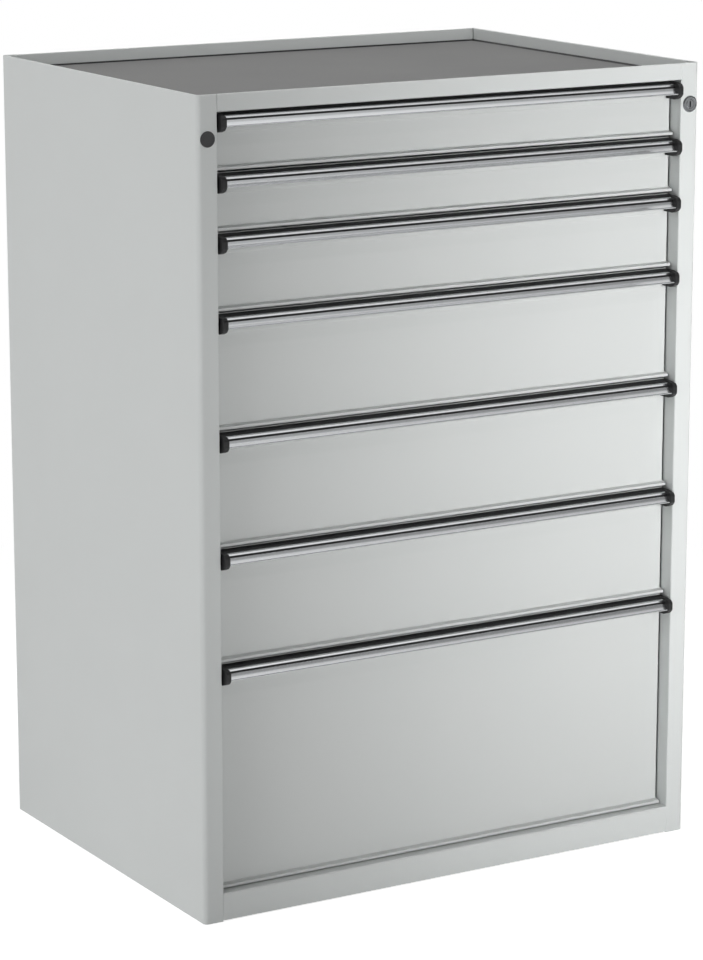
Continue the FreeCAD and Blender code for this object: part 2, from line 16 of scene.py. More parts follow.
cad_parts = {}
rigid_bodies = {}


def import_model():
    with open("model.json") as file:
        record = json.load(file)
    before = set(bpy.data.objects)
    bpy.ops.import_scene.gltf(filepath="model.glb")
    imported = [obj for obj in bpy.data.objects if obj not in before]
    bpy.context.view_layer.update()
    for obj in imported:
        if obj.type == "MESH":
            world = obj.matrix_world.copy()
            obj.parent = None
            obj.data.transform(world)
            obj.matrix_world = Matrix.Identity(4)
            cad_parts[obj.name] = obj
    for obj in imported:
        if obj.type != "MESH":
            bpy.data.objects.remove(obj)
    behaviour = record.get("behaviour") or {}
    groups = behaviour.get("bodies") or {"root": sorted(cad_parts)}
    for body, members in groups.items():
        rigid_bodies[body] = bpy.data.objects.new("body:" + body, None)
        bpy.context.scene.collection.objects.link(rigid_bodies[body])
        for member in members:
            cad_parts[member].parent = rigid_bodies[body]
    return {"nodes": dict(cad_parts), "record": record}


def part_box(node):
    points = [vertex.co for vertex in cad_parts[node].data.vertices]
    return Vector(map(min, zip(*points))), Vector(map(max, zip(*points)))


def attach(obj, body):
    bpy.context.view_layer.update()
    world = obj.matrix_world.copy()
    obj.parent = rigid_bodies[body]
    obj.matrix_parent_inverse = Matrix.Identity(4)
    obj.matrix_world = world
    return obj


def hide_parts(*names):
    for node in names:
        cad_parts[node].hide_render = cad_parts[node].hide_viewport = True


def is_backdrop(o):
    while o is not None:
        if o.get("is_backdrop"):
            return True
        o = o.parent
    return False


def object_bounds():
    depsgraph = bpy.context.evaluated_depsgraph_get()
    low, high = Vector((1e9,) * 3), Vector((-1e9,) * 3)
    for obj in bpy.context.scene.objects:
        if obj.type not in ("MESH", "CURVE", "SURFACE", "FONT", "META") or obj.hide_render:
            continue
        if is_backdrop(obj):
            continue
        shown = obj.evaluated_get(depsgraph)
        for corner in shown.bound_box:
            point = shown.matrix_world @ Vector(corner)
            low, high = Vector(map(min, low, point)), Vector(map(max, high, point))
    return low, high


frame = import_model()
cad_low, cad_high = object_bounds()
nodes = frame["nodes"]
MM = 0.001
DRAWERS = range(1, 8)
cabinet_size = [round(side / MM) for side in cad_high - cad_low]
print("The cabinet measures", cabinet_size, "mm in", len(nodes), "nodes")

# %% [markdown]
# ## Helpers for finishes
# A finish is a small tree of shader nodes. Each kind of node could have a helper of its own, but then every
# new kind would need one more. So one function adds any node, sets its values and joins its inputs. Colours
# are written as on a paint card, in sRGB hex, and a shader wants linear light, so one function turns the
# one into the other. Patterns are given by how wide their features are in millimetres, as one would measure
# them on the real surface.

# %% Node and colour helpers
def linear(card):
    """A colour card's hex value as the linear colour that a shader takes."""
    channels = [int(card[i:i + 2], 16) / 255 for i in (1, 3, 5)]
    return [c / 12.92 if c <= 0.04045 else ((c + 0.055) / 1.055) ** 2.4 for c in channels] + [1]


def add_node(tree, kind, values, **links):
    """Adds a node, sets its sockets or properties, and joins inputs to outputs. An input _2 is number two."""
    made = tree.nodes.new(kind)
    for name, value in values.items():
        if isinstance(name, int) or name in made.inputs:
            made.inputs[name].default_value = value
        else:
            setattr(made, name, value)
    for name, source in links.items():
        by_number = name[1:].isdigit()
        socket = made.inputs[int(name[1:])] if by_number else made.inputs[name.replace("_", " ")]
        tree.links.new(source, socket)
    return made


def per_mm(size):
    """The scale that makes a pattern's features about this many millimetres wide."""
    return 1 / (size * MM)


def new_material(name):
    """An empty material with its shader, ready for a pattern."""
    material = bpy.data.materials.new(name)
    material.use_nodes = True
    tree = material.node_tree
    tree.nodes.clear()
    shader = add_node(tree, "ShaderNodeBsdfPrincipled", {})
    add_node(tree, "ShaderNodeOutputMaterial", {}, Surface=shader.outputs[0])
    place = add_node(tree, "ShaderNodeTexCoord", {}).outputs["Object"]
    return material, tree, shader, place


print("Mid grey #808080 is", round(linear("#808080")[0], 3), "in linear light")

# %% [markdown]
# ## Powder coat
# The housing, the fronts and the trays are sheet steel, sprayed with polyester powder and baked. The melt
# never flows quite flat: it keeps a fine orange peel, with bumps about two millimetres wide, and a satin
# gloss. One plain colour would look like plastic film, and a photographed coat would need unwrapped pieces.
# So three noises in the piece's own space do it: a small one is the peel's bump, a middle one clouds the
# gloss faintly, and a wide one shifts the shade very slightly, as a thicker or thinner coat does. The fronts
# are given a slightly darker grey than the housing and the trays a darker one, and one function mixes all
# three.

# %% Mix the powder coats
# A Mix node's number, vector and colour sockets share their names, so the colour ones go by number.
COLOUR_A = 6
COLOUR_B = 7
COLOUR_MIXED = 2
# Noise hardly ever leaves the middle of its range, so gloss is spread over that part.
NOISE_RANGE = {"From Min": 0.3, "From Max": 0.7}
COAT_SHADE_MM = 140
COAT_CLOUD_MM = 35
COAT_PEEL_MM = 2.2
COAT_PEEL_HEIGHT = 0.15 * MM
COAT_GLOSS_SPREAD = 0.04


def powder_coat(name, light, dark, roughness):
    """Baked polyester powder on steel: satin, with a fine orange peel."""
    material, tree, shader, place = new_material(name)
    shade = add_node(tree, "ShaderNodeTexNoise", {"Scale": per_mm(COAT_SHADE_MM), "Detail": 3}, Vector=place)
    colour = add_node(tree, "ShaderNodeMix",
                      {"data_type": "RGBA", COLOUR_A: linear(dark), COLOUR_B: linear(light)},
                      Factor=shade.outputs["Fac"])
    cloud = add_node(tree, "ShaderNodeTexNoise", {"Scale": per_mm(COAT_CLOUD_MM), "Detail": 4}, Vector=place)
    gloss = add_node(tree, "ShaderNodeMapRange",
                     {**NOISE_RANGE, "To Min": roughness - COAT_GLOSS_SPREAD,
                      "To Max": roughness + COAT_GLOSS_SPREAD}, Value=cloud.outputs["Fac"])
    peel = add_node(tree, "ShaderNodeTexNoise", {"Scale": per_mm(COAT_PEEL_MM), "Detail": 2}, Vector=place)
    bump = add_node(tree, "ShaderNodeBump", {"Strength": 0.12, "Distance": COAT_PEEL_HEIGHT},
                    Height=peel.outputs["Fac"])
    tree.links.new(colour.outputs[COLOUR_MIXED], shader.inputs["Base Color"])
    tree.links.new(gloss.outputs[0], shader.inputs["Roughness"])
    tree.links.new(bump.outputs[0], shader.inputs["Normal"])
    return material


finishes = {
    "housing_powder_coat": powder_coat("Powder coat, light grey, housing", "#dbdedd", "#d8dbda", 0.46),
    "front_powder_coat": powder_coat("Powder coat, light grey, fronts", "#d3d5d4", "#d0d3d2", 0.44),
    "tray_powder_coat": powder_coat("Powder coat, light grey, trays", "#c9cccb", "#c4c7c6", 0.46),
}
print("Powder coats:", len(finishes))

# %% [markdown]
# ## Rubber mat
# The mat in the top is a calendered rubber sheet with a fine pebble grain. It hardly shines, and its grain
# breaks up the little sheen that it has. Grains of half a millimetre would vanish at this distance, so they
# are drawn a little over one millimetre wide. Voronoi cells give round pebbles, where noise would give
# clouds.

# %% Mix the mat's rubber
RUBBER_GRAIN_MM = 1.3
RUBBER_GRAIN_HEIGHT = 0.2 * MM
RUBBER_SHADE_MM = 120


def grained_rubber(name):
    """Calendered rubber with a pebble grain."""
    material, tree, shader, place = new_material(name)
    grain = add_node(tree, "ShaderNodeTexVoronoi", {"Scale": per_mm(RUBBER_GRAIN_MM)}, Vector=place)
    cloud = add_node(tree, "ShaderNodeTexNoise", {"Scale": per_mm(RUBBER_SHADE_MM), "Detail": 4},
                     Vector=place)
    colour = add_node(tree, "ShaderNodeMix",
                      {"data_type": "RGBA", COLOUR_A: linear("#757575"), COLOUR_B: linear("#7d7d7c")},
                      Factor=cloud.outputs["Fac"])
    gloss = add_node(tree, "ShaderNodeMapRange", {"To Min": 0.66, "To Max": 0.8},
                     Value=grain.outputs["Distance"])
    bump = add_node(tree, "ShaderNodeBump", {"Strength": 0.4, "Distance": RUBBER_GRAIN_HEIGHT},
                    Height=grain.outputs["Distance"])
    tree.links.new(colour.outputs[COLOUR_MIXED], shader.inputs["Base Color"])
    tree.links.new(gloss.outputs[0], shader.inputs["Roughness"])
    tree.links.new(bump.outputs[0], shader.inputs["Normal"])
    return material


finishes["top_mat_rubber"] = grained_rubber("Rubber, calendered, dark grey")
print("Rubber grain drawn", RUBBER_GRAIN_MM, "mm wide")

# %% [markdown]
# ## Moulded black plastic
# Grip bodies, end cheeks and the blanking plug are moulded ABS. A mould for such a part is spark-eroded,
# which leaves a fine, even matt grain on everything it makes. Plain black would show the moulding's shape
# badly, because its highlights would be hard and small. A small noise, as bump and in the gloss, is the
# grain that spreads them. The real grain is about a tenth of a millimetre wide and would vanish in the
# picture, so it is drawn nearly one millimetre wide.

# %% Mix the black plastic
ABS_GRAIN_MM = 0.9
ABS_GRAIN_HEIGHT = 0.08 * MM
ABS_ROUGHNESS = 0.5
ABS_GLOSS_SPREAD = 0.06


def moulded_abs(name, card):
    """Moulded ABS with a spark-eroded matt grain."""
    material, tree, shader, place = new_material(name)
    shader.inputs["Base Color"].default_value = linear(card)
    shader.inputs["Specular IOR Level"].default_value = 0.4
    grain = add_node(tree, "ShaderNodeTexNoise", {"Scale": per_mm(ABS_GRAIN_MM), "Detail": 3}, Vector=place)
    gloss = add_node(tree, "ShaderNodeMapRange",
                     {"To Min": ABS_ROUGHNESS - ABS_GLOSS_SPREAD, "To Max": ABS_ROUGHNESS + ABS_GLOSS_SPREAD},
                     Value=grain.outputs["Fac"])
    bump = add_node(tree, "ShaderNodeBump", {"Strength": 0.35, "Distance": ABS_GRAIN_HEIGHT},
                    Height=grain.outputs["Fac"])
    tree.links.new(gloss.outputs[0], shader.inputs["Roughness"])
    tree.links.new(bump.outputs[0], shader.inputs["Normal"])
    return material


finishes["black_plastic"] = moulded_abs("ABS, black, spark-eroded grain", "#202021")
print("Plastic grain drawn", ABS_GRAIN_MM, "mm wide")

# %% [markdown]
# ## Anodised aluminium
# The strip in each grip is an aluminium extrusion, satin-anodised. The die drags fine lines along the
# strip, and they spread every highlight across it. The shader's own anisotropy could do that too, but it
# shows no lines up close. A noise that is stretched far along X, the way of the extrusion, gives both. Real
# die lines lie a tenth or two of a millimetre apart, so these are drawn coarser, or they wouldn't show. It
# is a metal, so its colour is the colour of its reflections.

# %% Mix the aluminium
DIE_LINE_MM = 0.7
DIE_LINE_DEPTH = 0.05 * MM
DIE_LINE_STRETCH = 0.004


def anodised_aluminium(name):
    """Extruded aluminium, satin-anodised, with die lines along X."""
    material, tree, shader, place = new_material(name)
    shader.inputs["Metallic"].default_value = 1
    shader.inputs["Base Color"].default_value = linear("#d6d8da")
    stretched = add_node(tree, "ShaderNodeMapping", {"Scale": (DIE_LINE_STRETCH, 1, 1)}, Vector=place)
    lines = add_node(tree, "ShaderNodeTexNoise", {"Scale": per_mm(DIE_LINE_MM), "Detail": 4},
                     Vector=stretched.outputs[0])
    gloss = add_node(tree, "ShaderNodeMapRange", {**NOISE_RANGE, "To Min": 0.2, "To Max": 0.26},
                     Value=lines.outputs["Fac"])
    bump = add_node(tree, "ShaderNodeBump", {"Strength": 0.07, "Distance": DIE_LINE_DEPTH},
                    Height=lines.outputs["Fac"])
    tree.links.new(gloss.outputs[0], shader.inputs["Roughness"])
    tree.links.new(bump.outputs[0], shader.inputs["Normal"])
    return material


finishes["grip_aluminium"] = anodised_aluminium("Aluminium, extruded and satin-anodised")
print("Die lines run about", round(DIE_LINE_MM / DIE_LINE_STRETCH), "mm along the strips")

# %% [markdown]
# ## Zinc and chrome plate
# Runners, the lock bar and the cam are cold-rolled steel with bright zinc. Zinc sets in soft patches a few
# centimetres wide, a little bluer or yellower where its passivated skin is thicker, and a noise that drives
# both colour and gloss keeps the two together. The lock's face is chrome over nickel: nearly a mirror, with
# a hint of the polishing wheel in its gloss and its bump. The wheel's marks are finer than a pixel, so they
# are drawn more than a millimetre wide.

# %% Mix the plated metals
ZINC_PATCH_MM = 25
WHEEL_MARK_MM = 1.5
WHEEL_MARK_DEPTH = 0.05 * MM


def zinc_plate(name):
    """Bright zinc on cold-rolled steel, blue-passivated."""
    material, tree, shader, place = new_material(name)
    shader.inputs["Metallic"].default_value = 1
    patches = add_node(tree, "ShaderNodeTexNoise", {"Scale": per_mm(ZINC_PATCH_MM), "Detail": 5},
                       Vector=place)
    colour = add_node(tree, "ShaderNodeMix",
                      {"data_type": "RGBA", COLOUR_A: linear("#b4b9bd"), COLOUR_B: linear("#c6c4ba")},
                      Factor=patches.outputs["Fac"])
    gloss = add_node(tree, "ShaderNodeMapRange", {**NOISE_RANGE, "To Min": 0.3, "To Max": 0.46},
                     Value=patches.outputs["Fac"])
    tree.links.new(colour.outputs[COLOUR_MIXED], shader.inputs["Base Color"])
    tree.links.new(gloss.outputs[0], shader.inputs["Roughness"])
    return material


def chrome_plate(name):
    """Polished chrome over nickel on a die-cast lock."""
    material, tree, shader, place = new_material(name)
    shader.inputs["Metallic"].default_value = 1
    shader.inputs["Base Color"].default_value = linear("#808284")
    wheel = add_node(tree, "ShaderNodeTexNoise", {"Scale": per_mm(WHEEL_MARK_MM), "Detail": 4}, Vector=place)
    gloss = add_node(tree, "ShaderNodeMapRange", {**NOISE_RANGE, "To Min": 0.06, "To Max": 0.16},
                     Value=wheel.outputs["Fac"])
    bump = add_node(tree, "ShaderNodeBump", {"Strength": 0.1, "Distance": WHEEL_MARK_DEPTH},
                    Height=wheel.outputs["Fac"])
    tree.links.new(gloss.outputs[0], shader.inputs["Roughness"])
    tree.links.new(bump.outputs[0], shader.inputs["Normal"])
    return material


finishes["zinc_plated_steel"] = zinc_plate("Steel, bright zinc plate")
finishes["lock_chrome"] = chrome_plate("Chrome plate, polished")
print("Finishes ready:", ", ".join(finishes))

# %% [markdown]
# ## Give every node its finish
# The record says which material slot each node has. The construction's own pieces whose shape is right
# simply get the finish of that slot. This is the whole job for runners, trays, uprights and panels.

# %% Assign the finishes
slot_of = {part["node"]: part["material_slot"] for part in frame["record"]["subparts"]}
for name, thing in nodes.items():
    thing.data.materials.clear()
    thing.data.materials.append(finishes[slot_of[name]])
print("Nodes by finish:", {slot: list(slot_of.values()).count(slot) for slot in finishes})

# %% [markdown]
# ## Outlines with true rounds
# The construction's fronts have knife-sharp folds, and real folded sheet has round ones. A fold's bright
# line is much of what makes it look like metal. The corners could be bevelled afterwards, but a bevel on a
# thin sheet's many loose triangles leaves slivers. So the rounds are drawn into the outline first: an arc's
# two ends touch the lines at each side, and its points are turned from one to the other about its centre.

# %% Helpers for outlines
ROUND_STEPS = 4
LOOP_STEPS = 6


def arc(corner, before, after, radius, steps):
    """Points of a round of this radius at a corner between two neighbours."""
    corner, before, after = Vector(corner), Vector(before), Vector(after)
    one, two = (before - corner).normalized(), (after - corner).normalized()
    half_angle = one.angle(two) / 2
    centre = corner + (one + two).normalized() * (radius / math.sin(half_angle))
    start, end = (corner + way * (radius / math.tan(half_angle)) - centre for way in (one, two))
    return [centre + start.slerp(end, i / steps).normalized() * radius for i in range(steps + 1)]


def rounded(points, radii, steps=ROUND_STEPS):
    """An open line with a round of the given radius at each of its inner points."""
    line = [Vector(points[0])]
    for before, corner, after, radius in zip(points, points[1:], points[2:], radii):
        line += arc(corner, before, after, radius, steps) if radius else [Vector(corner)]
    return line + [Vector(points[-1])]


def rounded_loop(points, radii):
    """A closed line with a round of the given radius at each of its points."""
    turned_on = points[-1:] + points + points[:1]
    return rounded(turned_on, radii, LOOP_STEPS)[1:-1]


square = [(0, 0, 0), (1, 0, 0), (1, 1, 0), (0, 1, 0)]
print("A square with four rounds has", len(rounded_loop(square, [0.1] * 4)), "points")

# %% [markdown]
# ## From an outline to a piece
# Sheet metal is simplest to make as it is made: a net of faces is laid over the outlines, and only then the
# skin gets its thickness. Its cut edges are broken by a small bevel, which is what a file or a thick coat
# does to them. A finished piece gets smooth shading with sharp edges kept, and rides on the body that it
# belongs to.

# %% Helpers for pieces
SAME_POINT = MM / 1000
SMOOTH_UP_TO = 40


def lay_net(form, rows):
    """Four-sided faces between rows of points; all rows have the same number."""
    rows = [[form.verts.new(point) for point in row] for row in rows]
    for low_row, high_row in zip(rows, rows[1:]):
        for corners in zip(low_row, low_row[1:], high_row[1:], high_row):
            form.faces.new(corners)


def sharper_than(degrees):
    """A test that picks the edges at which two faces turn by more than an angle."""
    return lambda edge: len(edge.link_faces) == 2 and edge.calc_face_angle(0) > math.radians(degrees)


def round_edges(form, wanted, radius, segments=1):
    """Rounds every edge that a test picks."""
    edges = [edge for edge in form.edges if wanted(edge)]
    bmesh.ops.bevel(form, geom=edges, offset=radius, offset_type="OFFSET", segments=segments, profile=0.5,
                    affect="EDGES", clamp_overlap=True, material=-1)


def finish_piece(form, name, body, slot, *stands_for):
    """Makes an object of a bmesh, with its finish, and lets it ride on its body."""
    mesh = bpy.data.meshes.new(name)
    form.to_mesh(mesh)
    form.free()
    mesh.materials.append(finishes[slot])
    mesh.shade_smooth()
    mesh.set_sharp_from_angle(angle=math.radians(SMOOTH_UP_TO))
    piece = bpy.data.objects.new(name, mesh)
    bpy.context.scene.collection.objects.link(piece)
    even = piece.modifiers.new("Even shading", "WEIGHTED_NORMAL")
    even.keep_sharp = True
    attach(piece, body)
    if stands_for:
        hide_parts(*stands_for)
    return piece


print("Edges stay sharp above", SMOOTH_UP_TO, "degrees")

# %% [markdown]
# ## Drawer fronts
# Each front is one folded sheet with a flared lower lip and a shallow pressed recess under its grip. A
# boolean could press the recess, but it would leave hard corners and long thin faces. Here the recess is in
# the net: every row of points follows the pressed outline, and its depth runs out towards the side folds,
# column by column. The right return has a window, through which the lock bar's tab reaches the drawer, and
# which is open to the back above the tab's height. Its faces are simply left out before the sheet gets its
# thickness.

# %% Measure the fronts
FRONT_SHEET = 1.2 * MM
LIP_REACH = 7.5 * MM
LIP_TIP = 3.6 * MM
LIP_HEIGHT = 4.9 * MM
LIP_ROUNDS = (0.9 * MM, 1 * MM)
RECESS_TOP = 25 * MM
RECESS_HEIGHT = 18 * MM
RECESS_DEPTH = 1.2 * MM
RECESS_FOOT = 13.5 * MM
# From the foot up. The last two share the short upper slope, so they can't be much rounder.
RECESS_ROUNDS = (60 * MM, 12 * MM, 1.7 * MM, 1.7 * MM)
# How far inside the fold a column stands, and its share of the recess's depth.
RECESS_RUN_OUT = ((0, 0), (3 * MM, 0), (5 * MM, 0.15), (8 * MM, 0.85), (10 * MM, 1))
FOLD_ROUND = 2.2 * MM
FOLD_STEPS = 5
WINDOW_TOP = 7 * MM
WINDOW_STEP = 14.3 * MM
WINDOW_BOTTOM = 23 * MM
WINDOW_BACK = 5.9 * MM
COATED_EDGE = 0.2 * MM
CUT_EDGE_ANGLE = 60
print("The recess starts", round(RECESS_TOP / MM), "mm below a front's top")


# %% Fold the fronts
def front_lines(low, high):
    """The lip's outline, and the face's above it: recess, and a point at each height of the window."""
    face, bottom, top = low.y + LIP_REACH, low.z, high.z
    sunk, recess_top = face + RECESS_DEPTH, top - RECESS_TOP
    recess_foot = recess_top - RECESS_HEIGHT
    lip = rounded([(0, low.y, bottom), (0, low.y, bottom + LIP_TIP), (0, face, bottom + LIP_HEIGHT),
                   (0, face, recess_foot)], LIP_ROUNDS)[:-1]
    press = rounded([lip[-1], (0, face, recess_foot), (0, sunk, recess_foot + RECESS_FOOT),
                     (0, sunk, recess_top - RECESS_DEPTH), (0, face, recess_top), (0, face, top)],
                    RECESS_ROUNDS)[:-1]
    levels = [Vector((0, face, top - drop)) for drop in (WINDOW_BOTTOM, WINDOW_STEP, WINDOW_TOP, 0)]
    return lip, press + levels


def open_window(form, face, half, top):
    """Leaves out the faces of the right return where the lock bar's tab goes in."""
    openings = []
    for patch in form.faces:
        spot = patch.calc_center_median()
        in_window = top - WINDOW_BOTTOM < spot.z < top - WINDOW_TOP and spot.x > half
        past_window = spot.y > face + WINDOW_BACK and spot.z < top - WINDOW_STEP
        if in_window and spot.y > face + FOLD_ROUND and not past_window:
            openings.append(patch)
    bmesh.ops.delete(form, geom=openings, context="FACES")


def folded_front(low, high):
    """A front between the corners of its box: lip, face with its recess, folded returns, thickness."""
    face, half = low.y + LIP_REACH, high.x - FOLD_ROUND
    lip, face_line = front_lines(low, high)
    columns = [(half - inset, share) for inset, share in RECESS_RUN_OUT]
    columns = [(-x, share) for x, share in columns] + [(x, share) for x, share in reversed(columns)]
    turns = [math.radians(90 * i / FOLD_STEPS) for i in range(1, FOLD_STEPS + 1)]
    folded = [(FOLD_ROUND * math.sin(turn), FOLD_ROUND * (1 - math.cos(turn))) for turn in turns]
    folded += [(FOLD_ROUND, WINDOW_BACK), (FOLD_ROUND, high.y - face)]

    form = bmesh.new()
    across = [low.x] + [x for x, _ in columns] + [high.x]
    lay_net(form, [[(x, point.y, point.z) for x in across] for point in lip])
    rows = []
    for point in face_line:
        left = [(-half - out, face + back, point.z) for out, back in reversed(folded)]
        middle = [(x, face + (point.y - face) * share, point.z) for x, share in columns]
        right = [(half + out, face + back, point.z) for out, back in folded]
        rows.append(left + middle + right)
    lay_net(form, rows)
    open_window(form, face, half, high.z)

    bmesh.ops.remove_doubles(form, verts=form.verts, dist=COATED_EDGE / 10)
    bmesh.ops.recalc_face_normals(form, faces=form.faces)
    if max(form.faces, key=lambda patch: patch.calc_area()).normal.y > 0:
        bmesh.ops.reverse_faces(form, faces=form.faces)
    bmesh.ops.solidify(form, geom=form.faces, thickness=FRONT_SHEET)
    round_edges(form, sharper_than(CUT_EDGE_ANGLE), COATED_EDGE)
    return form


for number in DRAWERS:
    node = f"drawer_{number}_front"
    piece = finish_piece(folded_front(*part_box(node)), f"front_{number}", f"drawer_{number}",
                         "front_powder_coat", node)
    print(piece.name, "faces:", len(piece.data.polygons), [round(d / MM, 1) for d in piece.dimensions])

# %% [markdown]
# ## Grip strips
# The strip is an extrusion: one outline, the same all along. Along its top runs a round bead, under it a
# narrow groove, and then a hollow face sweeps forward to a rolled nose for the fingers. The construction's
# outline has the same corners with few facets, so its face mirrors the room in flat bands. Here every
# corner gets a true round, and the outline is drawn once and pulled along X, as the die does it.

# %% Draw the strips
STRIP_BACK = 14.7
# Each corner of an outline is (back, up, radius) in millimetres.
STRIP_CORNERS = (
    (STRIP_BACK, 13.43, 0), (11.5, 13.42, 0.8), (10.15, 12.6, 0.8), (10.1, 9.9, 0.5), (11.6, 9.2, 0.3),
    (9.2, 7.4, 0), (7, 7.9, 0.3), (4.2, 4.7, 20), (0.85, 1.9, 0.8), (0, 0.9, 0.5), (0.9, 0, 0.4),
    (2.55, 0.5, 0), (6.9, 3.08, 0), (STRIP_BACK, 10.4, 0),
)


def pulled(form, corners, start_y, start_z, low_x, high_x):
    """Adds a length along X of an outline whose own corner lies at start_y and start_z."""
    points = [(0, start_y + back * MM, start_z + up * MM) for back, up, _ in corners]
    outline = rounded_loop(points, [radius * MM for *_, radius in corners])
    end = form.faces.new([form.verts.new((low_x, point.y, point.z)) for point in outline])
    grown = bmesh.ops.extrude_face_region(form, geom=[end], use_keep_orig=True)["geom"]
    moved = [thing for thing in grown if isinstance(thing, bmesh.types.BMVert)]
    bmesh.ops.translate(form, verts=moved, vec=(high_x - low_x, 0, 0))
    bmesh.ops.recalc_face_normals(form, faces=form.faces)
    return form


for number in DRAWERS:
    node = f"drawer_{number}_grip_strip"
    low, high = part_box(node)
    piece = finish_piece(pulled(bmesh.new(), STRIP_CORNERS, low.y, low.z, low.x, high.x),
                         f"grip_strip_{number}", f"drawer_{number}", "grip_aluminium", node)
print("Strip outline points:", len(piece.data.vertices) // 2)

# %% [markdown]
# ## Grip bodies
# The strip is clipped to a black moulding. Its core carries the strip's back, a thin black rib fills the
# groove under the bead, so that the groove shows near-black, and a D-shaped cheek closes each end. All of
# them have one outline along X too, so the same pull makes them. Moulded edges are never sharp, so the cheeks
# get a small round all over, before the core is added, whose edges hide behind the strip. The core's back
# plate ends above the strip's nose, where the sheet of the front shows again.

# %% Mould the grip bodies
CORE_CORNERS = (
    (30, 22.5, 0.4), (17.55, 22.5, 1), (15.45, 20.59, 0), (15.45, 17.55, 0), (11.55, 13.9, 0),
    (12.9, 12.6, 0), (17.55, 16.9, 0), (18.3, 19.9, 0), (27.9, 19.9, 0), (27.9, 9.5, 0), (30, 9.5, 0),
)
RIB_CORNERS = ((11.35, 17.05, 0), (10.25, 14.65, 0), (12, 16.1, 0))
CHEEK_CORNERS = (
    (30, 22.5, 0), (13.5, 22.5, 4), (3.6, 20.9, 5), (0, 17.5, 4), (0, 7.4, 5), (3.9, 2.9, 6), (11.4, 0, 6),
    (30, 0, 0),
)
MOULDED_EDGE = 0.7 * MM
MOULDED_EDGE_ANGLE = 50
MOULDED_EDGE_STEPS = 3

for number in DRAWERS:
    node = f"drawer_{number}_grip_body"
    low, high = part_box(node)
    strip_low, strip_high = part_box(f"drawer_{number}_grip_strip")
    form = bmesh.new()
    for start, stop in ((low.x, strip_low.x), (strip_high.x, high.x)):
        pulled(form, CHEEK_CORNERS, low.y, low.z, start, stop)
    round_edges(form, sharper_than(MOULDED_EDGE_ANGLE), MOULDED_EDGE, MOULDED_EDGE_STEPS)
    pulled(form, CORE_CORNERS, low.y, low.z, strip_low.x, strip_high.x)
    pulled(form, RIB_CORNERS, low.y, low.z, strip_low.x, strip_high.x)
    piece = finish_piece(form, f"grip_body_{number}", f"drawer_{number}", "black_plastic", node)
print("Grip body:", [round(side / MM, 1) for side in piece.dimensions], "mm")

# %% [markdown]
# ## Mat
# The mat lies loose in the sunk top. It is a plain block, because a cut sheet of rubber has no other form,
# but its corners are trimmed round and its upper cut edge is a little soft. Two bevels do that, each on the
# edges that a small test picks: first those that stand on end, then those at the top.

# %% Cut the mat
MAT_INSET = 3.2 * MM
MAT_CORNER = 3 * MM
MAT_CORNER_STEPS = 5
MAT_EDGE = 0.6 * MM
MAT_EDGE_STEPS = 2
NEARLY = 0.1 * MM


def block(low, high):
    """A bmesh box between two corners."""
    form = bmesh.new()
    bmesh.ops.create_cube(form, size=1)
    bmesh.ops.scale(form, verts=form.verts, vec=high - low)
    bmesh.ops.translate(form, verts=form.verts, vec=(low + high) / 2)
    return form


def stands_on_end(edge):
    """Whether an edge runs up and down."""
    return abs(edge.verts[0].co.z - edge.verts[1].co.z) > MM


def lies_on_top(edge):
    """Whether an edge lies in the mat's upper face."""
    return min(vert.co.z for vert in edge.verts) > mat_high.z - NEARLY


mat_low, mat_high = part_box("top_mat")
inset = Vector((MAT_INSET, MAT_INSET, 0))
mat_form = block(mat_low + inset, mat_high - inset)
round_edges(mat_form, stands_on_end, MAT_CORNER, MAT_CORNER_STEPS)
round_edges(mat_form, lies_on_top, MAT_EDGE, MAT_EDGE_STEPS)
mat = finish_piece(mat_form, "mat", "cabinet", "top_mat_rubber", "top_mat")
print("Mat:", [round(side / MM, 1) for side in mat.dimensions], "mm")

# %% [markdown]
# ## Painted shade round the mat
# A black bead fills the gap between the mat and the rim and stands a little above it. It is painted shade:
# its black draws the dark line round the mat, which is the shadow down in that gap. A dark line could be
# painted on the mat instead, but only a bead that stands proud also shows from the low angle of the camera.
# Its section is one closed line, which a net carries round the four corners.

# %% Lay the black bead of painted shade
SHADE_BEAD_RISE = 1.8 * MM
SHADE_BEAD_PLAY = 0.1 * MM
RIM_GAP = 0.7 * MM

outer, inner = RIM_GAP - SHADE_BEAD_PLAY, SHADE_BEAD_PLAY - MAT_INSET
bead_top = mat_high.z + SHADE_BEAD_RISE
# How far outside the mat's own box a line of the bead runs, and its height.
bead_section = ((outer, mat_low.z), (outer, bead_top), (inner + SHADE_BEAD_RISE, bead_top), (inner, mat_high.z),
                (inner, mat_low.z), (outer, mat_low.z))
shade_bead_form = bmesh.new()
rings = []
for reach, height in bead_section:
    west, east = mat_low.x - reach, mat_high.x + reach
    south, north = mat_low.y - reach, mat_high.y + reach
    rings.append([(west, south, height), (east, south, height), (east, north, height),
                  (west, north, height), (west, south, height)])
lay_net(shade_bead_form, rings)
bmesh.ops.remove_doubles(shade_bead_form, verts=shade_bead_form.verts, dist=SAME_POINT)
bmesh.ops.recalc_face_normals(shade_bead_form, faces=shade_bead_form.faces)
# The bead's black is painted shade: it stands for the shadow in the gap round the mat.
finish_piece(shade_bead_form, "mat_joint", "cabinet", "black_plastic")
print("Joint:", round((outer - inner) / MM, 1), "mm wide,", round(SHADE_BEAD_RISE / MM, 1), "mm proud")

# %% [markdown]
# ## Welded seams
# The top panel and the base rail are folded sheets of their own. Where they meet the posts and the hems,
# the real cabinet is welded and ground before it is coated, so its seams are only faint lines. The gaps
# could be closed in the sheets themselves, but then no line would be left. A thin bead of weld in each gap,
# a little below the surface, stops the light and keeps the line.

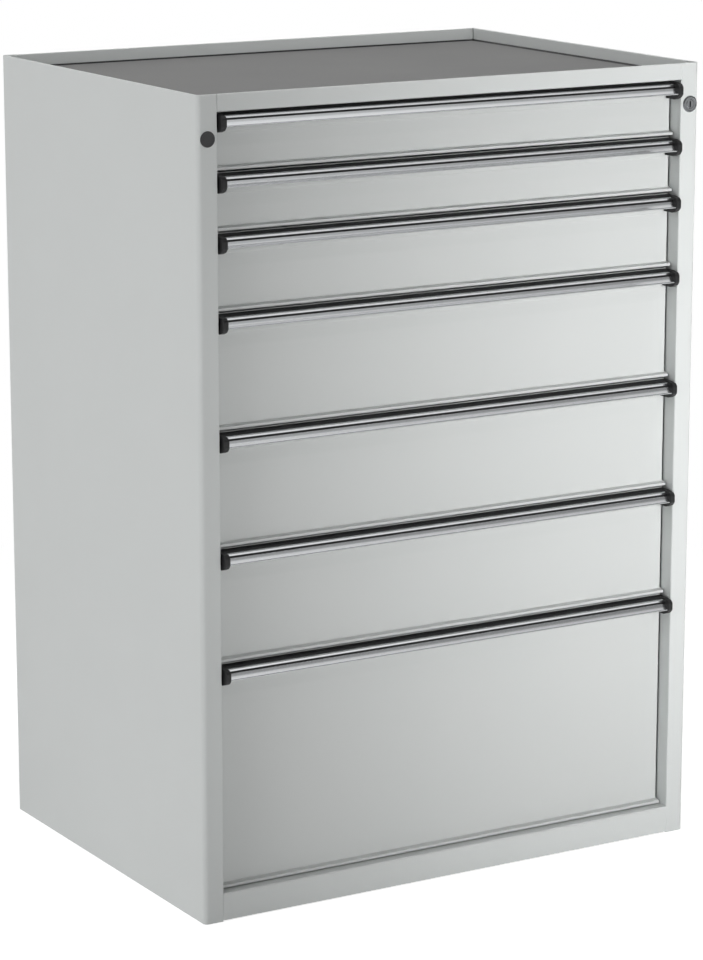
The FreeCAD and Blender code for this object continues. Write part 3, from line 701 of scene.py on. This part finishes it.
# %% Fill the seams
SIDES = (-1, 1)
POST_WIDTH = 28 * MM
SHEET = 1.5 * MM
TOP_FACE = 22 * MM
SEAM_GAP = 0.4 * MM
SEAM_SINK = 0.04 * MM
RIM_HEM = 10 * MM
RIM_ROUND = 1.2 * MM
BEAD_REACH = 0.4 * MM
BASE_BEAD_WEST = BEAD_REACH + SEAM_GAP / 4

top_low, top_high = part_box("top_panel")
base_low, base_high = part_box("base_front_rail")
half_mouth = cad_high.x - POST_WIDTH
hem_seam = top_high.z - RIM_HEM - SEAM_GAP / 2
hem_low, hem_high = hem_seam - BEAD_REACH, hem_seam + BEAD_REACH
seams = []
for side in SIDES:
    post_seam = (half_mouth - SEAM_GAP / 2) * side
    seams.append(((post_seam - BEAD_REACH, top_low.y + SEAM_SINK, top_high.z - TOP_FACE + RIM_ROUND),
                  (post_seam + BEAD_REACH, top_low.y + SHEET - SEAM_SINK, top_high.z - RIM_ROUND)))
    rim_x = sorted(((top_high.x - SHEET + SEAM_SINK) * side, (top_high.x - SEAM_SINK / 2) * side))
    seams.append(((rim_x[0], top_low.y + POST_WIDTH, hem_low),
                  (rim_x[1], top_high.y - SHEET * 2, hem_high)))
seams.append(((SHEET * 2 - top_high.x, top_high.y - SHEET + SEAM_SINK, hem_low),
              (top_high.x - SHEET * 2, top_high.y - SEAM_SINK / 2, hem_high)))
for side in SIDES:
    post_seam = half_mouth * side
    seams.append(((post_seam - BASE_BEAD_WEST, base_low.y + SEAM_SINK, base_low.z + RIM_ROUND),
                  (post_seam + BEAD_REACH, base_low.y + SHEET - SEAM_SINK, base_high.z - RIM_ROUND)))
for i, (low_corner, high_corner) in enumerate(seams, 1):
    bead = block(Vector(low_corner), Vector(high_corner))
    finish_piece(bead, f"weld_seam_{i}", "cabinet", "housing_powder_coat")
print("Seams:", len(seams))

# %% [markdown]
# ## Lock barrel
# The lock's parts are round, so they are turned: an outline of radius and depth is spun about the lock's
# axis. A cylinder with bevels would be quicker, but a turned outline can dome the head and sink the face in
# which the core sits, all in one closed skin.

# %% Turn the barrel
TURN_STEPS = 64
# Corners of a turned outline are (radius, depth) in millimetres, and its rounds belong to the inner ones.
BARREL_CORNERS = ((6.1, 18.8), (6.1, 0.6), (8.6, 0.6), (9, 0), (11, 0), (11, 1.8), (9.5, 1.8), (9.5, 18.8),
                  (6.1, 18.8))
BARREL_ROUNDS = (0.1, 0.3, 0.2, 1.3, 0, 0, 0.5)


def turned(corners, rounds, axis_x, front_y, axis_z):
    """Rounds an outline and spins it about an axis along Y."""
    line = rounded([(radius * MM, 0, depth * MM) for radius, depth in corners], [r * MM for r in rounds])
    form = bmesh.new()
    verts = [form.verts.new((axis_x + point.x, front_y + point.z, axis_z)) for point in line]
    edges = [form.edges.new(pair) for pair in zip(verts, verts[1:])]
    bmesh.ops.spin(form, geom=verts + edges, cent=(axis_x, 0, axis_z), axis=(0, 1, 0), dvec=(0, 0, 0),
                   angle=math.tau, steps=TURN_STEPS, use_merge=True, use_duplicate=False)
    bmesh.ops.remove_doubles(form, verts=form.verts, dist=SAME_POINT)
    bmesh.ops.recalc_face_normals(form, faces=form.faces)
    return form


core_low, core_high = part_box("lock_core")
head_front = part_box("lock_barrel")[0].y
core_x, core_z = (core_low.x + core_high.x) / 2, (core_low.z + core_high.z) / 2
barrel_form = turned(BARREL_CORNERS, BARREL_ROUNDS, core_x, head_front, core_z)
finish_piece(barrel_form, "lock_face_ring", "cabinet", "lock_chrome", "lock_barrel")
print("Lock at", [round(v / MM, 1) for v in (core_x, head_front, core_z)], "mm")

# %% [markdown]
# ## Lock core
# The core's keyway is a slot with rounded corners and a small chamfer. A boolean would cut it, but it would
# leave a ragged fan of faces on a chrome face that mirrors everything. Instead the core is a net of rings:
# round at the rim, they change to the slot's shape at the chamfer and go down to its floor, so all faces
# stay even.

# %% Build the core with its keyway
KEYWAY_HALF_WIDTH = 1
KEYWAY_HALF_LENGTH = 4
KEYWAY_SQUARENESS = 8
KEYWAY_CHAMFER = 0.35
KEYWAY_DEPTH = 5
CORE_RADIUS = 6
CORE_CHAMFER = 0.5
CORE_SINK = 0.25
CORE_FLAT = 5


def keyway_point(turn, grow):
    """A point of the keyway's rounded outline in the direction of an angle, in millimetres."""
    across, up = math.cos(turn), math.sin(turn)
    wide, tall = KEYWAY_HALF_WIDTH + grow, KEYWAY_HALF_LENGTH + grow
    reach = (abs(across / wide) ** KEYWAY_SQUARENESS + abs(up / tall) ** KEYWAY_SQUARENESS) ** (
        -1 / KEYWAY_SQUARENESS)
    return reach * across, reach * up


turns = [math.tau * i / TURN_STEPS for i in range(TURN_STEPS + 1)]
back_depth = (core_high.y - core_low.y) / MM
round_rings = ((0, back_depth), (CORE_RADIUS, back_depth), (CORE_RADIUS, CORE_SINK + CORE_CHAMFER),
               (CORE_RADIUS - CORE_CHAMFER, CORE_SINK), (CORE_FLAT, CORE_SINK))
slot_rings = ((KEYWAY_CHAMFER, CORE_SINK), (0, CORE_SINK + KEYWAY_CHAMFER), (0, KEYWAY_DEPTH))
rings = [[(math.cos(turn) * radius, math.sin(turn) * radius, depth) for turn in turns]
         for radius, depth in round_rings]
rings += [[(*keyway_point(turn, grow), depth) for turn in turns] for grow, depth in slot_rings]
rings.append([(0, 0, KEYWAY_DEPTH)] * len(turns))
core_form = bmesh.new()
lay_net(core_form, [[(core_x + x * MM, core_low.y + depth * MM, core_z + z * MM) for x, z, depth in ring]
                    for ring in rings])
bmesh.ops.remove_doubles(core_form, verts=core_form.verts, dist=SAME_POINT)
bmesh.ops.recalc_face_normals(core_form, faces=core_form.faces)
core = finish_piece(core_form, "lock_plug_with_keyway", "lock_core", "lock_chrome", "lock_core")
print("Core faces:", len(core.data.polygons))

# %% [markdown]
# ## Blanking plug
# A black plug closes the spare lock hole in the left post. It is a moulding with a raised rim and a
# slightly dished face, and is turned like the barrel. In the picture it is a little lighter than the grips,
# as a part from another moulder is, so it gets a charcoal batch of the same plastic.

# %% Turn the plug
PLUG_CORNERS = ((0, 0.75), (8.1, 0.45), (8.5, 0), (10, 0), (10, 1.5), (8.5, 1.5), (8.5, 7.5), (0, 7.5))
PLUG_ROUNDS = (0.3, 0.3, 0.8, 0, 0, 0.4)

plug_low, plug_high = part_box("blanking_plug")
plug_x, plug_z = (plug_low.x + plug_high.x) / 2, (plug_low.z + plug_high.z) / 2
plug_form = turned(PLUG_CORNERS, PLUG_ROUNDS, plug_x, plug_low.y, plug_z)
cap = finish_piece(plug_form, "blanking_plug_cap", "cabinet", "black_plastic", "blanking_plug")
cap.data.materials[0] = moulded_abs("ABS, charcoal, spark-eroded grain", "#3e3e3f")
print("Plug at", [round(v / MM, 1) for v in (plug_x, plug_low.y, plug_z)], "mm")

# %% [markdown]
# ## Paper floor
# A catalogue picture is taken on white paper. A paper that is simply lit until it is white would throw its
# light back at the cabinet and wash out its shadow. So the paper looks at what kind of ray reaches it,
# through the Light Path node: it is white for the camera and for reflections, and plain paper for the light
# that bounces about. Near the cabinet it stays real paper, to take the shadow, and fades to plain white
# beyond.

# %% Lay the paper
PAPER_SIZE = 60
PAPER_NEAR = 0.8
PAPER_FAR = 1.7
PAPER_LIFT = 0.78
WHITE = (1, 1, 1, 1)


def seen_directly(tree):
    """One for rays from the camera and for reflections, and nothing for the light that bounces about."""
    path = add_node(tree, "ShaderNodeLightPath", {})
    glossy = add_node(tree, "ShaderNodeMath", {"operation": "MAXIMUM"}, _0=path.outputs["Is Camera Ray"],
                      _1=path.outputs["Is Glossy Ray"])
    both = add_node(tree, "ShaderNodeMath", {"operation": "MAXIMUM"}, _0=glossy.outputs[0],
                    _1=path.outputs["Is Transmission Ray"])
    return both.outputs[0]


def white_paper():
    """Matt paper near the cabinet, which fades to plain white further out."""
    material = bpy.data.materials.new("Paper, white")
    material.use_nodes = True
    tree = material.node_tree
    tree.nodes.clear()
    place = add_node(tree, "ShaderNodeTexCoord", {})
    distance = add_node(tree, "ShaderNodeVectorMath", {"operation": "LENGTH"}, _0=place.outputs["Object"])
    far = add_node(tree, "ShaderNodeMapRange",
                   {"interpolation_type": "SMOOTHSTEP", "From Min": PAPER_NEAR, "From Max": PAPER_FAR},
                   Value=distance.outputs["Value"])
    paper = add_node(tree, "ShaderNodeBsdfDiffuse", {"Color": linear("#e8e8e8")})
    lift = add_node(tree, "ShaderNodeEmission", {"Color": WHITE, "Strength": PAPER_LIFT})
    lifted = add_node(tree, "ShaderNodeAddShader", {}, _0=paper.outputs[0], _1=lift.outputs[0])
    white = add_node(tree, "ShaderNodeEmission", {"Color": WHITE, "Strength": 1})
    shown = add_node(tree, "ShaderNodeMixShader", {}, _0=far.outputs[0], _1=lifted.outputs[0],
                     _2=white.outputs[0])
    both = add_node(tree, "ShaderNodeMixShader", {}, _0=seen_directly(tree), _1=paper.outputs[0],
                    _2=shown.outputs[0])
    add_node(tree, "ShaderNodeOutputMaterial", {}, Surface=both.outputs[0])
    return material


paper_form = bmesh.new()
bmesh.ops.create_grid(paper_form, x_segments=1, y_segments=1, size=PAPER_SIZE / 2)
paper_mesh = bpy.data.meshes.new("studio_paper")
paper_form.to_mesh(paper_mesh)
paper_form.free()
paper_mesh.materials.append(white_paper())
paper = bpy.data.objects.new("studio_paper", paper_mesh)
bpy.context.scene.collection.objects.link(paper)
paper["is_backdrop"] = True
print("Paper", PAPER_SIZE, "m wide, white beyond", PAPER_FAR, "m")

# %% [markdown]
# ## The room that metal mirrors
# Polished metal shows its surroundings more than its colour, and an even white room would make it look like
# paint. So reflections see a room of their own: dim walls, and a bright ceiling behind and above the
# cabinet. The edge between the two is what draws light and dark bands along the strips. The camera sees
# plain white, and everything else gets a dim, even light that softens the shadows.

# %% Set up the world
CEILING_WAY = (-0.25, 0.5, 0.83)
CEILING_EDGE = 0.37
CEILING_MIDDLE = 0.56
WALL_LIGHT = 0.28
CEILING_LIGHT = 1.1
ROOM_LIGHT = 0.18


def studio_world():
    """White for the camera, a bright ceiling and dim walls for reflections, and a dim room of light."""
    world = bpy.data.worlds.new("Studio")
    world.use_nodes = True
    tree = world.node_tree
    tree.nodes.clear()
    path = add_node(tree, "ShaderNodeLightPath", {})
    way = add_node(tree, "ShaderNodeTexCoord", {})
    near = add_node(tree, "ShaderNodeVectorMath", {"operation": "DOT_PRODUCT", 1: CEILING_WAY},
                    _0=way.outputs["Generated"])
    glow = add_node(tree, "ShaderNodeMapRange",
                    {"From Min": CEILING_EDGE, "From Max": CEILING_MIDDLE, "To Min": WALL_LIGHT,
                     "To Max": CEILING_LIGHT}, Value=near.outputs["Value"])
    room = add_node(tree, "ShaderNodeBackground", {"Color": WHITE, "Strength": ROOM_LIGHT})
    mirrored = add_node(tree, "ShaderNodeBackground", {"Color": WHITE}, Strength=glow.outputs[0])
    backdrop = add_node(tree, "ShaderNodeBackground", {"Color": WHITE, "Strength": 1})
    indirect = add_node(tree, "ShaderNodeMixShader", {}, _0=path.outputs["Is Glossy Ray"],
                        _1=room.outputs[0], _2=mirrored.outputs[0])
    shown = add_node(tree, "ShaderNodeMixShader", {}, _0=path.outputs["Is Camera Ray"],
                     _1=indirect.outputs[0], _2=backdrop.outputs[0])
    add_node(tree, "ShaderNodeOutputWorld", {}, Surface=shown.outputs[0])
    return world


bpy.context.scene.world = studio_world()
print("World:", bpy.context.scene.world.name)

# %% [markdown]
# ## Lamps
# The picture's front grows lighter from left to right, the side is even, and neither the grips nor the
# posts throw a shadow on the drawers. A lamp close to the right post would do that, but an open drawer
# would then burn out under it. So the main lamp is a tall strip box further off, straight in front of the
# right end, with a honeycomb grid: its beam is narrow, falls off towards the left, and stays nearly as
# strong on an open drawer. A large second one lights the left side, and a third hangs over the top for the
# mat.

# %% Place the lamps
def soft_box(name, place, target, width, height, watts, beam=180):
    """A rectangular area lamp that faces a point. Metal doesn't mirror it, only the room."""
    light = bpy.data.lights.new(name, "AREA")
    light.shape = "RECTANGLE"
    light.size = width
    light.size_y = height
    light.energy = watts
    light.spread = math.radians(beam)
    lamp = bpy.data.objects.new(name, light)
    bpy.context.scene.collection.objects.link(lamp)
    turn = (Vector(target) - Vector(place)).to_track_quat("-Z", "Y")
    lamp.matrix_world = Matrix.LocRotScale(Vector(place), turn, None)
    lamp.visible_camera = False
    lamp.visible_glossy = False
    return lamp


lamps = [
    soft_box("lamp_front", place=(0.45, -2.6, 0.68), target=(0.45, 0, 0.68), width=0.5, height=1.4,
             watts=5.9, beam=54),
    soft_box("lamp_left", place=(-3.2, -0.3, 1.0), target=(-0.37, 0, 0.5), width=2.2, height=2,
             watts=40.5),
    soft_box("lamp_top", place=(0, -0.12, 2.6), target=(0, -0.12, 1.04), width=1, height=0.28,
             watts=14.5),
]
print("Lamps:", {lamp.name: round(lamp.data.energy, 1) for lamp in lamps}, "W")

# %% [markdown]
# ## Camera
# The picture was taken from the front left, nearly five metres from the cabinet's foot and above its top,
# with a long lens. The place and angles below put the cabinet's corners where the picture has them.

# %% Set the camera
CAMERA_PLACE = (-2.354, -3.966, 1.540)
CAMERA_TURN = 30.73
CAMERA_TILT = -12.87
CAMERA_LENS = 130

lens = bpy.data.cameras.new("camera")
lens.lens = CAMERA_LENS
camera = bpy.data.objects.new("camera", lens)
bpy.context.scene.collection.objects.link(camera)
camera.location = CAMERA_PLACE
camera.rotation_euler = (math.radians(90 + CAMERA_TILT), 0, math.radians(-CAMERA_TURN))
bpy.context.scene.camera = camera
bpy.context.scene.view_settings.view_transform = "Standard"
print("Camera", round(camera.location.length, 2), "m from the foot, lens", CAMERA_LENS, "mm")

# %% [markdown]
# ## Measure and finish
# Last comes the size: the dressed cabinet is measured, and its size is printed.

# %% Measure and finish
low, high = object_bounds()
print("Dressed size:", [round(side / MM, 1) for side in high - low], "mm")
